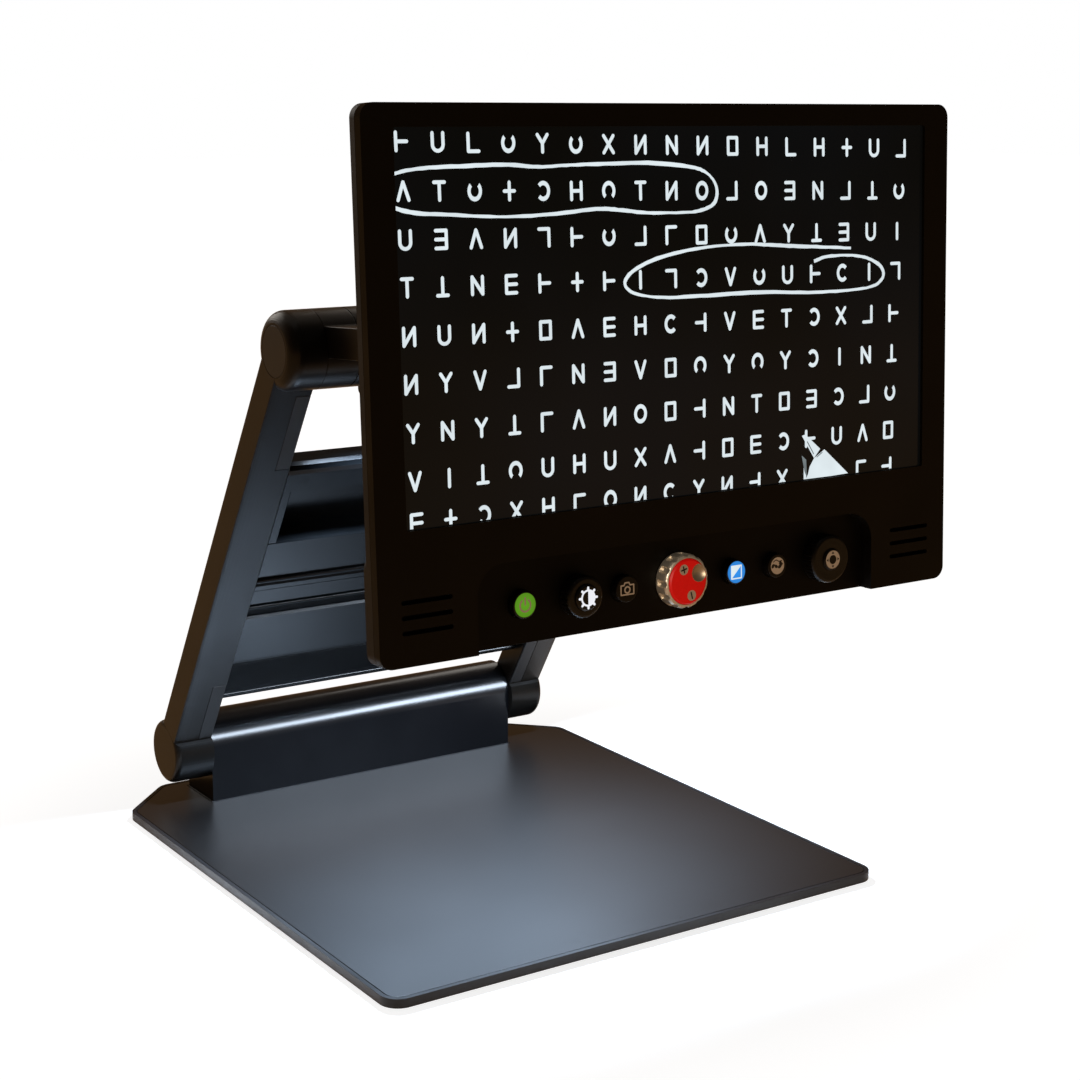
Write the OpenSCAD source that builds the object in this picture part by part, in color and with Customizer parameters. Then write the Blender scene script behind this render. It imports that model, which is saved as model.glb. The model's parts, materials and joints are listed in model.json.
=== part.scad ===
// Desktop low vision magnifier: a base plate, two leaning arms with a crossbar that
// carries the camera, and a wide monitor on two links in front of the crossbar.
// X runs to the right, Y away from the reader and Z up. The origin is on the desk,
// under the middle of the object.

/* [Base] */
// Width of the base plate
plate_w = 380; // [370:1:400]
// Depth of the base plate, front edge to rear edge
plate_d = 425; // [415:1:440]
// Thickness of the base plate
plate_t = 6; // [5:0.5:8]
// Height of the rubber feet under the plate
foot_h = 2; // [1:0.5:4]
// Size of the cut rear corners of the plate
plate_cut = 42; // [20:1:60]
// Half width of the rear housing
housing_half = 130.2; // [120:0.1:130.2]

/* [Arms] */
// Distance from the plate's front edge back to the lower hinge
hinge_back = 388; // [380:1:392]
// Height of the lower hinge above the desk
hinge_up = 47; // [44:1:52]
// Lower hinge to upper hinge
arm_len = 371.5; // [360:0.5:380]
// Forward lean of the arms from upright
arm_lean = 31.5; // [28:0.5:34]
// Distance from the middle to the outer face of each arm
arm_face = 160; // [158:1:164]
// Width of each arm
arm_w = 29.4; // [26:0.1:29.4]
// Lower hinge to the top and the back of the rear housing
roll_r = 25; // [24:0.5:26]
// Radius of the lower knuckles
foot_knuckle_r = 23.5; // [22:0.5:25]
// Radius of the crossbar and of the upper knuckles
bar_r = 25.7; // [25:0.1:27]

/* [Links] */
// Upper hinge to the monitor hinge
link_len = 168; // [165:1:172]
// Rise of the links towards the monitor
link_rise = 3.7; // [0:0.1:6]
// Outer end of each link hub
link_out = 134.9; // [134:0.1:135]
// Inner end of each link hub
link_in = 111.5; // [111:0.1:113]
// Depth of the link's section
link_h = 19.7; // [18:0.1:22]
// Radius of the bar that the monitor tilts on
tilt_r = 7; // [6:0.5:8]

/* [Monitor] */
// Width of the monitor
screen_w = 420; // [416:1:424]
// Height of the monitor
screen_h = 302; // [298:1:306]
// Backward tilt of the monitor
screen_tilt = 3.1; // [0:0.1:5]
// Corner radius of the monitor
screen_r = 8; // [6:0.5:12]
// Thickness of the monitor's side edges
edge_t = 11.5; // [11:0.5:13]
// Thickness of the edges beside the controls
low_edge_t = 14.5; // [14:0.5:16]
// Thickness at the middle of the back
bulge_t = 32; // [30:0.5:33]
// Width of the lit display area
view_w = 381; // [379:0.5:382]
// Height of the lit display area
view_h = 214.3; // [213:0.1:215]
// Bottom of the display area above the monitor's lower edge
view_z = 75; // [74:0.5:76]

/* [Controls] */
// Half width of the control recess
recess_half = 147; // [146:1:150]
// Height of the control recess
recess_h = 50.5; // [48:0.5:52]
// Depth of the control recess
recess_d = 10; // [9:0.5:11]
// Height of the row of controls above the monitor's lower edge
row_z = 23.5; // [23:0.5:25]
// Travel of the push buttons
press = 1.2; // [0.8:0.1:1.4]

/* [Hidden] */

$fn = 64;
eps = 0.05;
gap = 0.3;                                   // clearance between neighbouring pieces

// base
front_y = -198;                              // front edge of the plate
plate_top = foot_h + plate_t;
rim = 3;                                     // plate rim outside the mat
mat_t = 1;
corner_r = 13;
hinge_y = front_y + hinge_back;
housing_front = 18;                          // hinge axis to the flat front of the housing
bend_r = (housing_front + roll_r) / 2;       // bend over the top of the housing
housing_wall = 2.5;
end_wall = 4;
inlet_x = -62;
port_x = -30;
jack_z = 24;
foot_r = 9;
feet_at = [[-165, -178], [165, -178], [-165, 10], [165, 10], [-132, 205], [132, 205]];

// arms, in a frame with its origin on the lower hinge and Z along the arm
arm_front = -10.6;
arm_ridge = -9.3;                            // where the outer face meets the rounded front
arm_rear = 13.9;
arm_in = arm_face - arm_w;                   // inner face
arm_start = 19.2;                            // seam between the lower knuckle and the arm
arm_wall = 2.5;
arm_hollow_end = 335;
fold_angle = 14.2;                           // folded link to arm
shaft_r = 8;
fit = 0.05;                                  // running clearance on a radius
knuckle_fillet = 9;
knuckle_in = link_out + 0.3;
cap_r = 16.5;
strip_x = 141.6;                             // outer edge of the cover strips
strip_t = 1.2;

// ribbed panel between the arms
panel_bottom = 49;
panel_top = 281;
panel_half = arm_in - 0.1;
panel_front = -10.4;
panel_back = 2;
grip_bottom = 257;
pocket_bottom = 213;
pocket_floor = 8;
pocket_end = 125;

// camera head and lights, in a frame with its origin on the crossbar's axis
tube_half = link_in - 0.4;
tube_wall = 2.5;
head_half = 46;
head_d = 50;
head_low = -42;
stub_in = 94;                                // inner end of the upper hinge shafts
upper_shaft_r = 9;
bush_r = 12;
camera_bay = [44, 38, 30];                   // room for the camera inside the head
window_r = 16;
window_t = 1.5;
lens_r = 9;
lens_low = 4;                                // bottom of the lens barrel above the head's
lens_h = 28.8;
lens_dome = 13.5;                            // radius of the front lens
light_in = 50;
light_out = 94;
light_half = 12;
light_low = -33;
light_high = -14;
diffuser_half = 7.8;
diffuser_t = 1.5;
led = [3.5, 3.5, 1];
led_count = 4;
led_pitch = 8;

// monitor
bezel_t = 6;
link_mid = 5.35;                             // middle of the link above the line of hinges
hub_r = 11;                                  // link hub around the tilt bar
view_step = 2;                               // bezel face to display glass
tilt_depth = 45.7;                           // monitor face to tilt bar
tilt_up = 166;                               // monitor's lower edge to tilt bar
bulge_half = 156;
bulge_low = 5;
bulge_high = 262;
bulge_full = 66;                             // height above which the bulge has its full depth
bracket_in = 84;
bracket_out = 108;
shell = 2;
step_z = 62;                                 // where the side edges become thicker
slot_in = 163;
slot_out = 195.5;
slot_h = 2.6;
slots_z = [36, 27.5, 19];

// controls
button_x = [-112.6, -41, 41, 73.5];
button_r = [8, 8, 7.5, 7.5];
button_face = 4.5;                           // face of the buttons behind the bezel face
dial_x = [-73.5, 0, 113];
dial_r = [12.5, 16.5, 15.2];
dial_base = recess_d - 0.5;
dial_shaft_r = 3;
tray_floor = 2.5;
board_depth = 16;

// places of the frames
function upper_y() = hinge_y - arm_len * sin(arm_lean);
function upper_z() = hinge_up + arm_len * cos(arm_lean);
function tilt_y() = upper_y() - link_len * cos(link_rise) + link_mid * sin(link_rise);
function tilt_z() = upper_z() + link_len * sin(link_rise) + link_mid * cos(link_rise);
screen_y = tilt_y() - tilt_depth * cos(screen_tilt) - tilt_up * sin(screen_tilt);
screen_z = tilt_z() + tilt_depth * sin(screen_tilt) - tilt_up * cos(screen_tilt);

// ---------- helpers ----------

// origin on the lower hinge, Z along the arms
module on_arm() {
    translate([0, hinge_y, hinge_up]) rotate([arm_lean, 0, 0]) children();
}

// origin on the crossbar's axis, level
module on_crossbar() {
    translate([0, upper_y(), upper_z()]) children();
}

// origin on the crossbar's axis, -Y along the links
module on_link() {
    translate([0, upper_y(), upper_z()]) rotate([-link_rise, 0, 0]) children();
}

// origin on the monitor's lower front edge, Y into the monitor, Z up its face
module on_monitor() {
    translate([0, screen_y, screen_z]) rotate([-screen_tilt, 0, 0]) children();
}

// an outline drawn in (x, z), filled from depth a to depth b
module depth(a, b) {
    translate([0, b, 0]) rotate([90, 0, 0]) linear_extrude(b - a) children();
}

// an outline drawn in (y, z), filled from x = a to x = b
module across(a, b) {
    translate([a, 0, 0]) rotate([90, 0, 90]) linear_extrude(b - a) children();
}

// a cylinder along X from x = a to x = b
module rod_x(a, b, r, y = 0, z = 0) {
    translate([a, y, z]) rotate([0, 90, 0]) cylinder(h = b - a, r = r);
}

// a cylinder along the screen's depth from a to b
module rod_y(a, b, r, x = 0, z = 0) {
    translate([x, b, z]) rotate([90, 0, 0]) cylinder(h = b - a, r = r);
}

// a solid of revolution about X, from [distance along X, radius] points
module turned_x(points) {
    rotate([90, 0, 90]) rotate_extrude() polygon([for (p = points) [p[1], p[0]]]);
}

module both_sides() {
    children();
    mirror([1, 0, 0]) children();
}

// rectangle from [x0, z0] to [x1, z1] with round corners
module round_rect(x0, z0, x1, z1, r) {
    translate([x0 + r, z0]) square([x1 - x0 - 2 * r, z1 - z0]);
    translate([x0, z0 + r]) square([x1 - x0, z1 - z0 - 2 * r]);
    for (x = [x0 + r, x1 - r], z = [z0 + r, z1 - r]) translate([x, z]) circle(r);
}

// ---------- base ----------

module plate_outline(inset = 0) {
    h = plate_w / 2;
    back = front_y + plate_d;
    offset(r = corner_r - inset) offset(delta = -corner_r)
        polygon([[-h, front_y], [h, front_y], [h, back - plate_cut], [h - plate_cut, back],
                 [plate_cut - h, back], [-h, back - plate_cut]]);
}

module housing_footprint(grow) {
    translate([-housing_half - grow, hinge_y - housing_front - grow])
        square([2 * (housing_half + grow), housing_front + roll_r + 2 * grow]);
}

module base_plate() {
    color("#1d1d1f") difference() {
        translate([0, 0, foot_h]) linear_extrude(plate_t) plate_outline();
        translate([0, 0, plate_top - mat_t]) linear_extrude(mat_t + 1) difference() {
            plate_outline(rim);
            housing_footprint(1);
        }
        for (p = feet_at) translate([p[0], p[1], foot_h - 1]) cylinder(h = 2, r = foot_r + 0.1);
        for (p = base_screw_places()) translate([p[0], p[1], foot_h - 1]) {
            cylinder(h = plate_t + 2, r = 2.1);
            cylinder(h = 3, r = 4.2);
        }
    }
}

module reading_mat() {
    color("#242426") translate([0, 0, plate_top - mat_t]) linear_extrude(mat_t) difference() {
        plate_outline(rim + 0.5);
        housing_footprint(1.5);
    }
}

module base_feet() {
    color("#111111") for (p = feet_at) translate([p[0], p[1], 0]) {
        cylinder(h = foot_h + 1, r = foot_r);
    }
}

function base_screw_places() = concat(
    [for (x = [-112, -40, 40, 112]) [x, hinge_y - 12]],
    [for (x = [-112, 112]) [x, hinge_y + 19]]
);

module base_screws() {
    color("silver") for (p = base_screw_places()) translate([p[0], p[1], foot_h + 0.4]) {
        difference() {
            cylinder(h = 1.6, r = 3.9);
            translate([0, 0, -1]) cylinder(h = 1.8, r = 1.4, $fn = 6);
        }
        cylinder(h = 9, r = 1.98);
    }
}

// side outline of the rear housing, drawn in (y, z) about the hinge axis
module housing_profile(inset) {
    low = plate_top - hinge_up;
    r = bend_r - inset;
    c = roll_r - bend_r;
    translate([c, c]) circle(r, $fn = 96);
    translate([c - r, low]) square([2 * r, c - low]);
}

module back_opening(grow) {
    round_rect(-100 - grow, 12 - grow, 100 + grow, 36 + grow, 3);
}

module rear_housing() {
    h = housing_half;
    color("#17181b") difference() {
        translate([0, hinge_y, hinge_up]) {
            difference() {
                across(-h, h) housing_profile(0);
                translate([0, 0, -eps]) across(-h + end_wall, h - end_wall) housing_profile(housing_wall);
            }
            both_sides() difference() {
                rod_x(88, h - end_wall + eps, shaft_r + 4.5);
                rod_x(87, h, shaft_r);
            }
            for (p = base_screw_places()) translate([p[0], p[1] - hinge_y, plate_top - hinge_up]) {
                cylinder(h = 10, r = 4);
            }
        }
        translate([0, hinge_y, hinge_up]) both_sides() rod_x(120, housing_half + 1, shaft_r);
        translate([0, hinge_y + roll_r - housing_wall - 6, 0]) depth(0, 10) back_opening(0.4);
        for (p = base_screw_places()) translate([p[0], p[1], plate_top - 1]) cylinder(h = 9, r = 2);
    }
}

module housing_back_cover() {
    color("#1b1c1f") difference() {
        translate([0, hinge_y + roll_r - 2.2, 0]) depth(0, 2.2) back_opening(0);
        translate([inlet_x, hinge_y + roll_r - 4, jack_z]) rotate([-90, 0, 0]) cylinder(h = 6, r = 4.6);
        translate([port_x - 8, hinge_y + roll_r - 4, jack_z - 3.2]) cube([16, 6, 6.4]);
        for (i = [0:7]) translate([24 + i * 8, hinge_y + roll_r - 4, jack_z - 7]) cube([3, 6, 14]);
    }
}

module power_inlet() {
    color("#0c0c0c") translate([inlet_x, hinge_y + roll_r, jack_z]) rotate([90, 0, 0]) {
        difference() {
            union() {
                cylinder(h = 12, r = 4.3);
                translate([-5, -5, 2.6]) cube([10, 10, 9.4]);
            }
            translate([0, 0, -1]) cylinder(h = 10.5, r = 2.85);
        }
        translate([0, 0, 0.8]) cylinder(h = 9, r = 1.05);
    }
}

module data_port() {
    color("silver") translate([port_x, hinge_y + roll_r, jack_z]) rotate([90, 0, 0]) difference() {
        linear_extrude(12) square([15.2, 5.6], center = true);
        translate([0, 0, -1]) linear_extrude(11) square([13.8, 4.4], center = true);
    }
}

module power_board() {
    color("darkgreen") translate([-80, hinge_y - 12, plate_top + 13]) {
        cube([150, 1.6, 26]);
        for (i = [0:5]) translate([14 + i * 22, 1.6, 5]) cube([12, 4.5, 14]);
    }
}

module counter_springs() {
    color("silver") translate([0, hinge_y, hinge_up]) both_sides() {
        for (i = [0:9]) translate([92 + i * 3.1, 0, 0]) rotate([0, 90, 0])
            rotate_extrude() translate([shaft_r + 6.2, 0]) circle(1.3, $fn = 24);
    }
}

module lower_hinge_shafts() {
    color("silver") translate([0, hinge_y, hinge_up]) both_sides() {
        rod_x(86, arm_face - 5, shaft_r - 0.02);
        rod_x(84, 86 + eps, shaft_r + 2.5);
    }
}

// ---------- arms ----------

// one arm's section, drawn in (x, y): flat outer face, gently rounded front
module arm_section() {
    run = 13;
    rise = arm_ridge - arm_front;
    r = 3;
    polygon(concat(
        [[arm_face, arm_rear - r], [arm_face, arm_ridge]],
        [for (a = [15:15:90]) [arm_face - run * (1 - cos(a)), arm_ridge - rise * sin(a)]],
        [[arm_in + 0.6, arm_front], [arm_in, arm_front + 0.6], [arm_in, arm_rear - r]],
        [for (a = [15:15:90]) [arm_in + r * (1 - cos(a)), arm_rear - r + r * sin(a)]],
        [for (a = [0:15:75]) [arm_face - r + r * sin(a), arm_rear - r + r * cos(a)]]
    ));
}

// round end of the lower knuckle, up to the seam with the arm
module lower_knuckle() {
    f = 4.5;
    r = foot_knuckle_r;
    color("#17181b") on_arm() difference() {
        turned_x(concat(
            [[arm_in, 0], [arm_in, r], [arm_face - f, r]],
            [for (a = [15:15:90]) [arm_face - f + f * sin(a), r - f + f * cos(a)]],
            [[arm_face, 0]]
        ));
        translate([arm_in - 5, -50, arm_start - 0.2]) cube([60, 100, 50]);
        rod_x(arm_in - 5, arm_face - 4, shaft_r + fit);
        spine_slot();
    }
}

module left_foot_knuckle() {
    mirror([1, 0, 0]) lower_knuckle();
}

module right_foot_knuckle() {
    lower_knuckle();
}

module spine_slot() {
    translate([arm_face - 16.1, -6.1, 10]) cube([6.2, 14.2, 60]);
}

module arm_spines() {
    color("gray") on_arm() both_sides()
        translate([arm_face - 16, -6, 10.2]) cube([6, 14, arm_hollow_end - 11]);
}

// turned shape of the upper knuckle, about the crossbar's axis
module upper_knuckle_shape() {
    f = knuckle_fillet;
    turned_x(concat(
        [[knuckle_in, 0], [knuckle_in, bar_r], [arm_face - f, bar_r]],
        [for (a = [10:10:90]) [arm_face - f + f * sin(a), bar_r - f + f * cos(a)]],
        [[arm_face, 0]]
    ));
}

module strip_cut(a, b, grow) {
    translate([arm_in - 1, arm_front - 1, a - grow])
        cube([strip_x - arm_in + 1 + grow, strip_t + 1 + grow, b - a + 2 * grow]);
}

module arm() {
    color("#17181b") on_arm() difference() {
        union() {
            translate([0, 0, arm_start]) linear_extrude(arm_len - arm_start - 8) arm_section();
            translate([0, 0, arm_len]) upper_knuckle_shape();
        }
        translate([knuckle_in + arm_wall, arm_ridge + arm_wall, arm_start + 4])
            cube([arm_face - knuckle_in - 2 * arm_wall, arm_rear - arm_ridge - 2 * arm_wall,
                  arm_hollow_end - arm_start - 4]);
        strip_cut(arm_start + 1, 75, 0.2);
        strip_cut(280, 342, 0.2);
        translate([0, 0, arm_len]) {
            rod_x(arm_in - 1, knuckle_in, bar_r + gap);
            rod_x(knuckle_in - 1, arm_face - 6, upper_shaft_r);
            rod_x(arm_face - 1.6, arm_face + 1, cap_r + 0.25);
            rotate([fold_angle, 0, 0]) translate([arm_in - 1, -15.8, -link_len - 12])
                cube([knuckle_in - arm_in + 1, 60, link_len + 12]);
        }
        translate([0, 0, -1]) spine_slot();
    }
}

module left_arm() {
    mirror([1, 0, 0]) arm();
}

module right_arm() {
    arm();
}

module knuckle_cap() {
    color("#1d1e21") on_arm() translate([0, 0, arm_len]) rod_x(arm_face - 1.6, arm_face, cap_r);
}

module left_knuckle_cap() {
    mirror([1, 0, 0]) knuckle_cap();
}

module right_knuckle_cap() {
    knuckle_cap();
}

module cover_strip(a, b) {
    translate([arm_in + 0.3, arm_front, a + 0.1])
        cube([strip_x - arm_in - 0.4, strip_t, b - a - 0.2]);
}

module upper_cover_strips() {
    color("#1b1c20") on_arm() both_sides() cover_strip(280, 342);
}

module lower_cover_strips() {
    color("#1b1c20") on_arm() both_sides() cover_strip(arm_start + 1, 75);
}

// one rounded rib of the panel, at height s along it and depth t
module rib(s, t, r) {
    translate([t, s]) circle(r);
}

module panel_profile() {
    difference() {
        union() {
            polygon([[0, panel_bottom], [-0.5, 57], [-6.6, 90], [-8.4, 96], [-7.2, 137],
                     [-5.6, 138.5], [-8, 147], [-6.5, 152], [-6.5, 153.5], [-10, 155],
                     [-10.2, 172], [-8, 178], [-8, 181], [panel_front, 183],
                     [panel_front, pocket_bottom - 1], [panel_front + 1, pocket_bottom],
                     [pocket_floor + 3, pocket_bottom], [pocket_floor + 3, pocket_bottom - 4],
                     [panel_back, pocket_bottom - 8], [panel_back, panel_bottom]]);
            rib(panel_bottom + 3.5, 0.3, 1.8);
            rib(95, -5.4, 3.2);
            rib(149.5, -7.4, 2);
            rib(175.5, -8, 2.4);
            translate([pocket_floor, pocket_bottom - 1]) square([3, grip_bottom - pocket_bottom + 2]);
            polygon([[-8, grip_bottom + 2], [-8, grip_bottom + 1], [panel_front, grip_bottom + 2],
                     [panel_front, panel_top - 7], [-9.6, panel_top - 4], [-7.5, panel_top - 1.4],
                     [-5, panel_top], [4, panel_top], [4, grip_bottom + 6],
                     [pocket_floor + 3, grip_bottom + 1], [pocket_floor, grip_bottom + 1],
                     [pocket_floor, grip_bottom + 2]]);
        }
        translate([panel_front - 1, 167.6]) square([1.5, 0.7]);
    }
}

// end wall of the handle pocket
module pocket_cheek() {
    translate([0, 0, pocket_bottom - eps]) linear_extrude(grip_bottom - pocket_bottom + 2.5)
        polygon([[panel_half - eps, panel_front], [pocket_end, panel_front],
                 [pocket_end - 1, panel_front + 1], [pocket_end - 5, pocket_floor + 2],
                 [panel_half - eps, pocket_floor + 2]]);
}

module back_panel() {
    color("#1c1e22") on_arm() {
        across(-panel_half, panel_half) panel_profile();
        both_sides() pocket_cheek();
    }
}

// ---------- crossbar and camera ----------

module crossbar_tube() {
    color("#17181b") on_crossbar() difference() {
        rod_x(-tube_half, tube_half, bar_r);
        rod_x(-tube_half - 1, tube_half + 1, bar_r - tube_wall);
        translate([-camera_bay[0] / 2, -18, -bar_r - 1]) cube([camera_bay[0], 36, bar_r]);
        both_sides() translate([light_in + 4, -6, -bar_r - 1])
            cube([light_out - light_in - 8, 12, bar_r]);
    }
}

module crossbar_ends() {
    color("#202226") on_crossbar() both_sides() difference() {
        rod_x(stub_in + 1, tube_half - 0.1, bar_r - tube_wall - 0.1);
        rod_x(stub_in, tube_half + 1, upper_shaft_r);
        translate([stub_in, -8, -30]) cube([30, 16, 19]);
    }
}

module upper_hinge_shafts() {
    color("silver") on_crossbar() both_sides() {
        rod_x(stub_in + 0.5, arm_face - 7, upper_shaft_r - 0.02);
        rod_x(stub_in - 2, stub_in + 0.5 + eps, upper_shaft_r + 3);
    }
}

module camera_head() {
    color("#17181b") on_crossbar() difference() {
        across(-head_half, head_half)
            round_rect(-head_d / 2, head_low, head_d / 2, 12, 8);
        rod_x(-head_half - 1, head_half + 1, bar_r + 0.1);
        translate([-head_half - 1, -head_d, 0]) cube([2 * head_half + 2, 2 * head_d, 20]);
        translate([-camera_bay[0] / 2, -camera_bay[1] / 2, head_low + 3]) cube(camera_bay);
        translate([0, 0, head_low - 1]) cylinder(h = window_t + 1.1, r = window_r + 0.2);
        translate([0, 0, head_low - 1]) cylinder(h = 5, r = window_r - 3);
    }
}

module camera_board() {
    color("darkgreen") on_crossbar() {
        translate([-20, -16, -9]) cube([40, 32, 1.6]);
        translate([-7, -7, -7.4]) cube([14, 14, 2]);
    }
}

module lens_barrel() {
    color("#101010") on_crossbar() translate([0, 0, head_low + lens_low]) difference() {
        union() {
            cylinder(h = lens_h, r = lens_r);
            cylinder(h = 8, r = lens_r + 3);
            translate([0, 0, 12]) cylinder(h = 6, r = lens_r + 1.5);
        }
        translate([0, 0, -1]) cylinder(h = 9, r = lens_r);
        translate([0, 0, 6]) cylinder(h = 24, r = lens_r - 3);
    }
}

module lens_glass() {
    color("#334455") on_crossbar() translate([0, 0, head_low + lens_low + 3]) intersection() {
        cylinder(h = 4.9, r = lens_r - 0.1);
        translate([0, 0, lens_dome]) sphere(r = lens_dome);
    }
}

module camera_window() {
    color("#222a33", 0.5) on_crossbar() translate([0, 0, head_low])
        cylinder(h = window_t, r = window_r);
}

module light_bars() {
    color("#17181b") on_crossbar() both_sides() difference() {
        across(light_in, light_out) round_rect(-light_half, light_low, light_half, light_high, 4);
        rod_x(light_in - 1, light_out + 1, bar_r + 0.1);
        translate([light_in + 4, -diffuser_half - 0.2, light_low - 1])
            cube([light_out - light_in - 8, 2 * diffuser_half + 0.4, 12]);
    }
}

module led_boards() {
    color("white") on_crossbar() both_sides() {
        translate([light_in + 5, -5.8, light_low + 8]) cube([light_out - light_in - 10, 11.6, 1.2]);
        for (i = [0:led_count - 1])
            translate([light_in + 8 + i * led_pitch, -led[1] / 2, light_low + 8 - led[2]]) cube(led);
    }
}

module light_diffusers() {
    color("white") on_crossbar() both_sides()
        translate([light_in + 4.2, -diffuser_half, light_low + 0.4])
            cube([light_out - light_in - 8.4, 2 * diffuser_half, diffuser_t]);
}

// ---------- links and tilt bar ----------

module link() {
    color("#17181b") on_link() difference() {
        union() {
            rod_x(link_in, link_out, bar_r);
            translate([link_in, -link_len, link_mid - link_h / 2])
                cube([link_out - link_in, link_len - 8, link_h]);
            rod_x(link_in, link_out, hub_r, -link_len, link_mid);
        }
        rod_x(link_in - 1, link_out + 1, bush_r);
        rod_x(link_in - 1, link_out + 1, tilt_r + fit, -link_len, link_mid);
    }
}

module left_link() {
    mirror([1, 0, 0]) link();
}

module right_link() {
    link();
}

module link_bushes() {
    color("peru") on_link() both_sides() difference() {
        rod_x(link_in, link_out, bush_r - 0.02);
        rod_x(link_in - 1, link_out + 1, upper_shaft_r + fit);
    }
}

module link_brace() {
    color("#1b1c20") on_link() {
        difference() {
            translate([-link_in + 0.1, -84, link_mid - 6]) cube([2 * link_in - 0.2, 22, 12]);
            translate([-link_in - 1, -81, link_mid - 4]) cube([2 * link_in + 2, 16, 9]);
        }
        for (i = [-2:2]) translate([i * 40 - 1, -82, link_mid - 5]) cube([2, 18, 10]);
    }
}

module tilt_bar() {
    color("silver") on_link() rod_x(-138, 138, tilt_r, -link_len, link_mid);
}

module tilt_bar_collars() {
    color("#1d1e21") on_link() both_sides() difference() {
        rod_x(link_out + 0.3, 139.5, 9.5, -link_len, link_mid);
        rod_x(link_out, 138, tilt_r + 0.01, -link_len, link_mid);
    }
}

// ---------- monitor ----------

module hinge_bracket() {
    color("#202226") on_monitor() difference() {
        union() {
            depth(bulge_t + 0.1, bulge_t + 4)
                round_rect(bracket_in, tilt_up - 34, bracket_out, tilt_up + 34, 5);
            rod_x(bracket_in, bracket_out, hub_r, tilt_depth, tilt_up);
            translate([bracket_in, bulge_t + 2, tilt_up - hub_r])
                cube([bracket_out - bracket_in, tilt_depth - bulge_t - 2, 2 * hub_r]);
        }
        rod_x(bracket_in - 1, bracket_out + 1, tilt_r + fit, tilt_depth, tilt_up);
        for (z = [-26, 26]) rod_y(bulge_t - 1, bulge_t + 6, 2.3, 96, tilt_up + z);
    }
}

module left_hinge_bracket() {
    mirror([1, 0, 0]) hinge_bracket();
}

module right_hinge_bracket() {
    hinge_bracket();
}

module recess_outline(grow) {
    r = 18 + grow;
    x = recess_half + grow;
    z = recess_h + grow;
    translate([-x, -1]) square([2 * x, z - r + 1]);
    translate([-x + r, 0]) square([2 * (x - r), z]);
    for (s = [-1, 1]) translate([s * (x - r), z - r]) circle(r);
}

module monitor_bezel() {
    h = screen_w / 2;
    color("#141416") on_monitor() difference() {
        depth(0, bezel_t) round_rect(-h, 0, h, screen_h, screen_r);
        depth(-1, bezel_t + 1)
            round_rect(-view_w / 2, view_z, view_w / 2, view_z + view_h, 1.5);
        depth(view_step, bezel_t + 1)
            round_rect(-view_w / 2 - 3.5, view_z - 3, view_w / 2 + 3.5, view_z + view_h + 3, 1);
        depth(-1, bezel_t + 1) recess_outline(0);
        for (s = [-1, 1], z = slots_z)
            depth(-1, bezel_t + 1) round_rect(
                s > 0 ? slot_in : -slot_out, z - slot_h / 2,
                s > 0 ? slot_out : -slot_in, z + slot_h / 2, 1.2);
    }
}

module display_glass() {
    color("#050507") on_monitor() depth(view_step + 0.05, view_step + 1)
        round_rect(-view_w / 2 - 3, view_z - 2.5, view_w / 2 + 3, view_z + view_h + 2.5, 0.8);
}

module display_module() {
    color("#303236") on_monitor() depth(view_step + 1.1, view_step + 6.6)
        round_rect(-view_w / 2 - 3, view_z - 2.5, view_w / 2 + 3, view_z + view_h + 2.5, 0.8);
}

// the back cover's outside, or its inside when inset is above zero
module back_shape(inset) {
    h = screen_w / 2 - inset;
    b = bulge_half - inset;
    r = screen_r - inset / 2;
    depth(bezel_t + gap, edge_t - inset) round_rect(-h, inset, h, screen_h - inset, r);
    depth(bezel_t + gap, low_edge_t - inset) round_rect(-h, inset, h, step_z - inset, r);
    hull() {
        depth(edge_t - 3, edge_t - inset)
            round_rect(-b, bulge_low + inset, b, bulge_high - inset, 12, $fn = 32);
        depth(edge_t, bulge_t - 10 - inset)
            round_rect(-b + 4, bulge_low + 3 + inset, b - 4, bulge_high - 8 - inset, 11, $fn = 32);
        depth(edge_t, bulge_t - inset)
            round_rect(-b + 14, bulge_full, b - 14, bulge_high - 16 - inset, 10, $fn = 32);
    }
}

module monitor_back() {
    color("#17181b") on_monitor() difference() {
        back_shape(0);
        translate([0, -eps, 0]) back_shape(shell);
        depth(0, recess_d + tray_floor + 1) recess_outline(2.4);
        for (i = [-7:7]) depth(bulge_t - 6, bulge_t + 1)
            translate([i * 9, 232]) round_rect(-1.6, -9, 1.6, 9, 1.2);
        for (s = [-1, 1], z = [-26, 26]) rod_y(bulge_t - 6, bulge_t + 1, 1.9, s * 96, tilt_up + z);
    }
}

module back_screws() {
    color("silver") on_monitor() for (s = [-1, 1], z = [-26, 26]) {
        rod_y(bulge_t - 4, bulge_t + 4 + eps, 1.8, s * 96, tilt_up + z);
        rod_y(bulge_t + 4.02, bulge_t + 5.8, 3.6, s * 96, tilt_up + z);
    }
}

module main_board() {
    color("darkgreen") on_monitor() {
        depth(18, 19.6) round_rect(-96, 80, 70, 205, 2);
        for (i = [0:3], k = [0:1])
            depth(19.6, 23) translate([-80 + i * 38, 96 + k * 50]) square([22, 26]);
    }
}

module speakers() {
    color("#2a2a2a") on_monitor() both_sides() {
        depth(bezel_t + 0.4, bezel_t + 5.6) round_rect(165, 13, 195, 43, 6);
    }
}

module control_tray() {
    color("#141416") on_monitor() difference() {
        depth(bezel_t + 0.02, recess_d + tray_floor) intersection() {
            recess_outline(2);
            translate([-200, 0.1]) square([400, 80]);
        }
        depth(bezel_t - 1, recess_d) recess_outline(0);
        for (i = [0:3]) rod_y(recess_d - 1, recess_d + 4, button_r[i] + 0.35, button_x[i], row_z);
        for (x = dial_x) rod_y(recess_d - 1, recess_d + 4, dial_shaft_r + 0.3, x, row_z);
    }
}

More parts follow.
